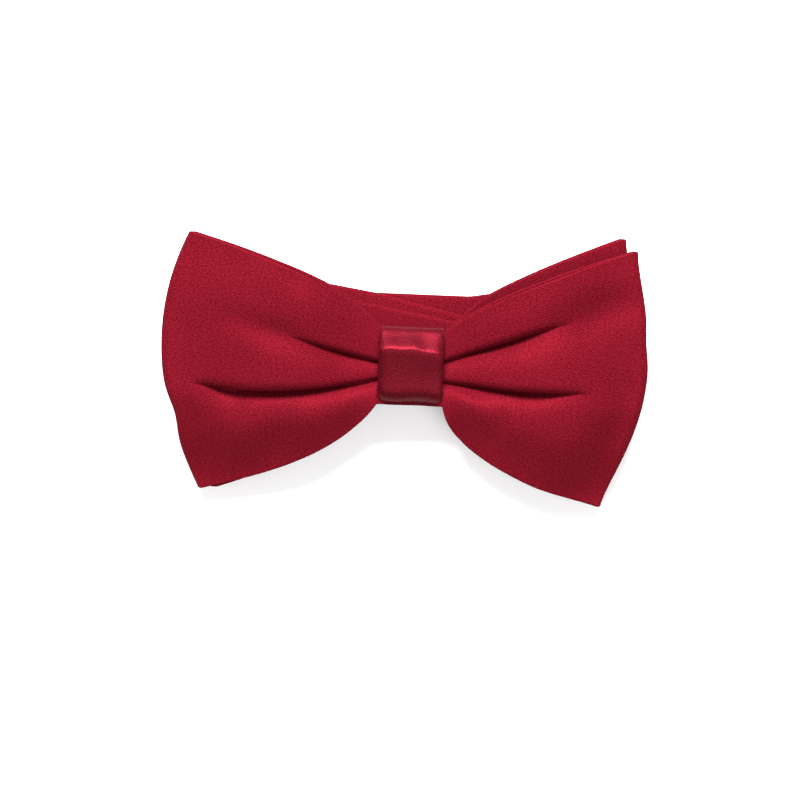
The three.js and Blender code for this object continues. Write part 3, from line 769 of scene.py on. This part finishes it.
def thread(name):
    """Matt polyester thread: a close slanting twist that catches small points of light."""
    material, tree = new_material(name)
    place = add_node(tree, "ShaderNodeTexCoord")
    twist = add_node(tree, "ShaderNodeTexWave", {"bands_direction": "DIAGONAL"},
                     {"Scale": 1400.0, "Distortion": 1.5}, {"Vector": place.outputs["Object"]})
    colours = add_node(tree, "ShaderNodeValToRGB", links={"Fac": twist.outputs["Fac"]})
    colours.color_ramp.elements[0].color = linear("#4a0815")
    colours.color_ramp.elements[1].color = linear("#8c1a30")
    bump = add_node(tree, "ShaderNodeBump", values={"Strength": 0.6, "Distance": 0.0001},
                    links={"Height": twist.outputs["Fac"]})
    shader = add_node(tree, "ShaderNodeBsdfPrincipled", values={"Roughness": 0.62},
                      links={"Base Color": colours.outputs[0], "Normal": bump.outputs[0]})
    finish_material(tree, shader)
    return material


def nickel(name):
    """Bright nickel plating on pressed steel: clear reflections, fine rubbing marks, duller in patches."""
    material, tree = new_material(name)
    place = add_node(tree, "ShaderNodeTexCoord")
    patches = add_node(tree, "ShaderNodeTexNoise", values={"Scale": 420.0, "Detail": 4.0},
                       links={"Vector": place.outputs["Object"]})
    rubbed = add_node(tree, "ShaderNodeMapRange", values={"To Min": 0.16, "To Max": 0.38},
                      links={"Value": patches.outputs["Fac"]})
    colours = add_node(tree, "ShaderNodeValToRGB", links={"Fac": patches.outputs["Fac"]})
    colours.color_ramp.elements[0].color = linear("#98958f")
    colours.color_ramp.elements[1].color = linear("#bfbdb8")
    scratches = add_node(tree, "ShaderNodeTexNoise", values={"Scale": 2600.0, "Detail": 3.0},
                         links={"Vector": place.outputs["Object"]})
    bump = add_node(tree, "ShaderNodeBump", values={"Strength": 0.12, "Distance": 0.00005},
                    links={"Height": scratches.outputs["Fac"]})
    shader = add_node(tree, "ShaderNodeBsdfPrincipled", values={"Metallic": 1.0},
                      links={"Base Color": colours.outputs[0], "Roughness": rubbed.outputs[0],
                             "Normal": bump.outputs[0]})
    finish_material(tree, shader)
    return material


def floor_paper(name):
    """Plain matt white sweep with the faintest tooth."""
    material, tree = new_material(name)
    place = add_node(tree, "ShaderNodeTexCoord")
    tooth = add_node(tree, "ShaderNodeTexNoise", values={"Scale": 900.0, "Detail": 2.0},
                     links={"Vector": place.outputs["Object"]})
    bump = add_node(tree, "ShaderNodeBump", values={"Strength": 0.05, "Distance": 0.0001},
                    links={"Height": tooth.outputs["Fac"]})
    shader = add_node(tree, "ShaderNodeBsdfPrincipled", values={"Roughness": 0.9, "Specular IOR Level": 0.1},
                      links={"Normal": bump.outputs[0]})
    shader.inputs["Base Color"].default_value = linear("#f6f6f6")
    finish_material(tree, shader)
    return material


MAKERS = {
    "burgundy_twill_satin": satin,
    "burgundy_twill_satin_taut": taut_satin_with_painted_shade,
    "burgundy_polyester_thread": thread,
    "nickel_plated_steel": nickel,
    "white_paper_floor": floor_paper,
}


def material(name):
    """The named material, made the first time that it is asked for."""
    found = bpy.data.materials.get(name)
    if found is None:
        found = MAKERS[name](name)
    return found


def dress(piece, name):
    """Gives a piece one material, in place of any that it had."""
    piece.data.materials.clear()
    piece.data.materials.append(material(name))


# ---------------------------------------------------------------- settings and operators

class TieSizes(bpy.types.PropertyGroup):
    """What can be changed about the tie and its camera."""
    cloth_thickness: bpy.props.FloatProperty(
        name="Sleeve thickness", description="Thickness of one folded ply of the bow",
        default=0.0008, unit="LENGTH", precision=5)
    twill_pitch: bpy.props.FloatProperty(
        name="Twill pitch", description="Distance between the satin's diagonal ribs",
        default=0.00056, unit="LENGTH", precision=5)
    wrinkle_depth: bpy.props.FloatProperty(
        name="Unevenness", description="How uneven the folded cloth is, in millimetres",
        default=0.35, min=0, max=2)
    camera_distance: bpy.props.FloatProperty(
        name="Camera distance", description="Height of the camera above the knot",
        default=0.80, unit="LENGTH")
    camera_roll: bpy.props.FloatProperty(
        name="Camera roll", description="Turn of the camera about the way that it looks",
        default=math.radians(2.39), subtype="ANGLE")


class TIE_OT_stage(bpy.types.Operator):
    """Make the pale floor, the soft lights and the camera above the tie"""
    bl_idname = "tie.stage"
    bl_label = "Stage"

    def execute(self, context):
        make_floor()
        make_lights(context.scene)
        make_camera(context.scene, context.scene.tie_sizes)
        return {"FINISHED"}


class TIE_OT_bows(bpy.types.Operator):
    """Make the front and rear bows, each one satin sleeve folded into two loops"""
    bl_idname = "tie.bows"
    bl_label = "Bows"

    def execute(self, context):
        sizes = context.scene.tie_sizes
        half = sizes.cloth_thickness / 2
        front = front_bow_surface(sizes.wrinkle_depth)
        piece = cloth_mesh("front_bow", rested(to_row(front)), half, True)
        dress(piece, "burgundy_twill_satin")
        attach(piece, "tie_body")
        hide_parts("front_bow_sleeve", "front_bow_interlining")

        rear = rear_bow_surface()
        piece = cloth_mesh("rear_bow", rested(to_row(rear)), half, True)
        dress(piece, "burgundy_twill_satin")
        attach(piece, "tie_body")
        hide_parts("rear_bow_sleeve", "rear_bow_interlining")
        return {"FINISHED"}


class TIE_OT_knot(bpy.types.Operator):
    """Make the satin band wrapped round the middle of the bows"""
    bl_idname = "tie.knot"
    bl_label = "Knot"

    def execute(self, context):
        piece = cloth_mesh("knot_wrap", to_row(knot_surface()), KNOT_HALF_THICK * MM, True)
        dress(piece, "burgundy_twill_satin_taut")
        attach(piece, "tie_body")
        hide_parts("knot_band", "knot_interlining")
        return {"FINISHED"}


def strap_piece(name, surface, body):
    """One satin piece of the strap, riding on a body, and its flat size: its width and its length."""
    piece = cloth_mesh(name, surface, STRAP_HALF_THICK * MM, False)
    dress(piece, "burgundy_twill_satin")
    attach(piece, body)
    middle = surface[:, STRAP_COLUMNS // 2]
    length = float(np.linalg.norm(np.diff(middle, axis=0), axis=-1).sum())
    return piece, (2 * STRAP_HALF * MM, length)


class TIE_OT_strap(bpy.types.Operator):
    """Make the folded neck strap and its doubled end"""
    bl_idname = "tie.strap"
    bl_label = "Strap"

    def execute(self, context):
        piece, flat = strap_piece("neck_strap_band", strap_surface(), "tie_body")
        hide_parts("neck_strap")

        piece, flat = strap_piece("strap_sewn_end", sewn_end_surface(), "slide_body")
        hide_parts("strap_return")

        piece, flat = strap_piece("strap_doubled_end", doubled_run_surface(), "tie_body")
        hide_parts("strap_return")
        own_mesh(piece)
        return {"FINISHED"}


class TIE_OT_metal(bpy.types.Operator):
    """Give the slide, the eye and the hook their nickel plating"""
    bl_idname = "tie.metal"
    bl_label = "Metal parts"

    def execute(self, context):
        for name in ("slide_adjuster", "eye", "hook"):
            dress(frame["nodes"][name], "nickel_plated_steel")
        return {"FINISHED"}


class TIE_OT_stitches(bpy.types.Operator):
    """Give the hidden binding, the knot's seam and the bar tacks their thread"""
    bl_idname = "tie.stitches"
    bl_label = "Stitches"

    def execute(self, context):
        for name in ("gather_binding", "knot_seam_thread", "hook_bar_tack", "slide_bar_tack"):
            dress(frame["nodes"][name], "burgundy_polyester_thread")
        return {"FINISHED"}


class TIE_PT_panel(bpy.types.Panel):
    bl_label = "Bow Tie"
    bl_space_type = "VIEW_3D"
    bl_region_type = "UI"
    bl_category = "Bow Tie"

    def draw(self, context):
        sizes = context.scene.tie_sizes
        for name in TieSizes.__annotations__:
            self.layout.prop(sizes, name)
        for operator in OPERATORS:
            self.layout.operator(operator.bl_idname)


# ---------------------------------------------------------------- stage

# Metres, watts, and for the camera's sensor millimetres.
FLOOR_SIZE = 6
FLOOR_DROP = 0.0002
WORLD_STRENGTH = 0.52
FACE_HEIGHT = 0.005
SEEN_WIDTH = 0.1975
SENSOR_WIDTH = 36
AIM_LEFT = 0.0027
AIM_DOWN = 0.0084


def make_floor():
    """A wide white floor, a hair below the strap."""
    bpy.ops.mesh.primitive_plane_add(size=FLOOR_SIZE, location=(0, 0, -FLOOR_DROP))
    floor = bpy.context.object
    floor.name = "floor"
    floor.data.materials.append(material("white_paper_floor"))


def soft_light(name, place, size, power):
    """A rectangular light, turned to face the middle of the floor."""
    light = bpy.data.lights.new(name, "AREA")
    light.shape = "RECTANGLE"
    light.size, light.size_y = size
    light.energy = power
    lamp = bpy.data.objects.new(name, light)
    bpy.context.collection.objects.link(lamp)
    lamp.location = place
    lamp.rotation_euler = (-Vector(place)).to_track_quat("-Z", "Y").to_euler()


def make_lights(scene):
    """A pale room, a key light beyond the tie's upper edge that shades the creases, and a weak fill."""
    world = bpy.data.worlds.new("pale_room")
    world.use_nodes = True
    world.node_tree.nodes["Background"].inputs["Color"].default_value = (1, 1, 1, 1)
    world.node_tree.nodes["Background"].inputs["Strength"].default_value = WORLD_STRENGTH
    scene.world = world
    soft_light("key", place=(-0.10, 0.80, 1.00), size=(0.60, 0.40), power=66)
    soft_light("fill", place=(0.15, -0.45, 1.20), size=(0.90, 0.70), power=12)


def make_camera(scene, sizes):
    """A camera straight above the tie, rolled a little, with the tie above the middle of its view."""
    view = bpy.data.cameras.new("camera")
    eye = bpy.data.objects.new("camera", view)
    scene.collection.objects.link(eye)
    view.sensor_width = SENSOR_WIDTH
    view.lens = view.sensor_width * sizes.camera_distance / SEEN_WIDTH
    roll = sizes.camera_roll
    right = Vector((math.cos(roll), math.sin(roll), 0))
    up = Vector((-math.sin(roll), math.cos(roll), 0))
    aim = Vector((BOW_CENTRE.x, BOW_CENTRE.y, 0)) - AIM_LEFT * right - AIM_DOWN * up
    eye.location = (aim.x, aim.y, BOW_CENTRE.z + FACE_HEIGHT + sizes.camera_distance)
    eye.rotation_euler = (0, 0, roll)
    scene.camera = eye


OPERATORS = (TIE_OT_stage, TIE_OT_bows, TIE_OT_knot, TIE_OT_strap, TIE_OT_metal, TIE_OT_stitches)


def register():
    for item in (TieSizes, *OPERATORS, TIE_PT_panel):
        bpy.utils.register_class(item)
    bpy.types.Scene.tie_sizes = bpy.props.PointerProperty(type=TieSizes)


def unregister():
    del bpy.types.Scene.tie_sizes
    for item in reversed((TieSizes, *OPERATORS, TIE_PT_panel)):
        bpy.utils.unregister_class(item)


def main():
    register()
    bpy.context.scene.view_settings.view_transform = "Standard"
    for operator in OPERATORS:
        family, name = operator.bl_idname.split(".")
        getattr(getattr(bpy.ops, family), name)()


if __name__ == "__main__":
    main()
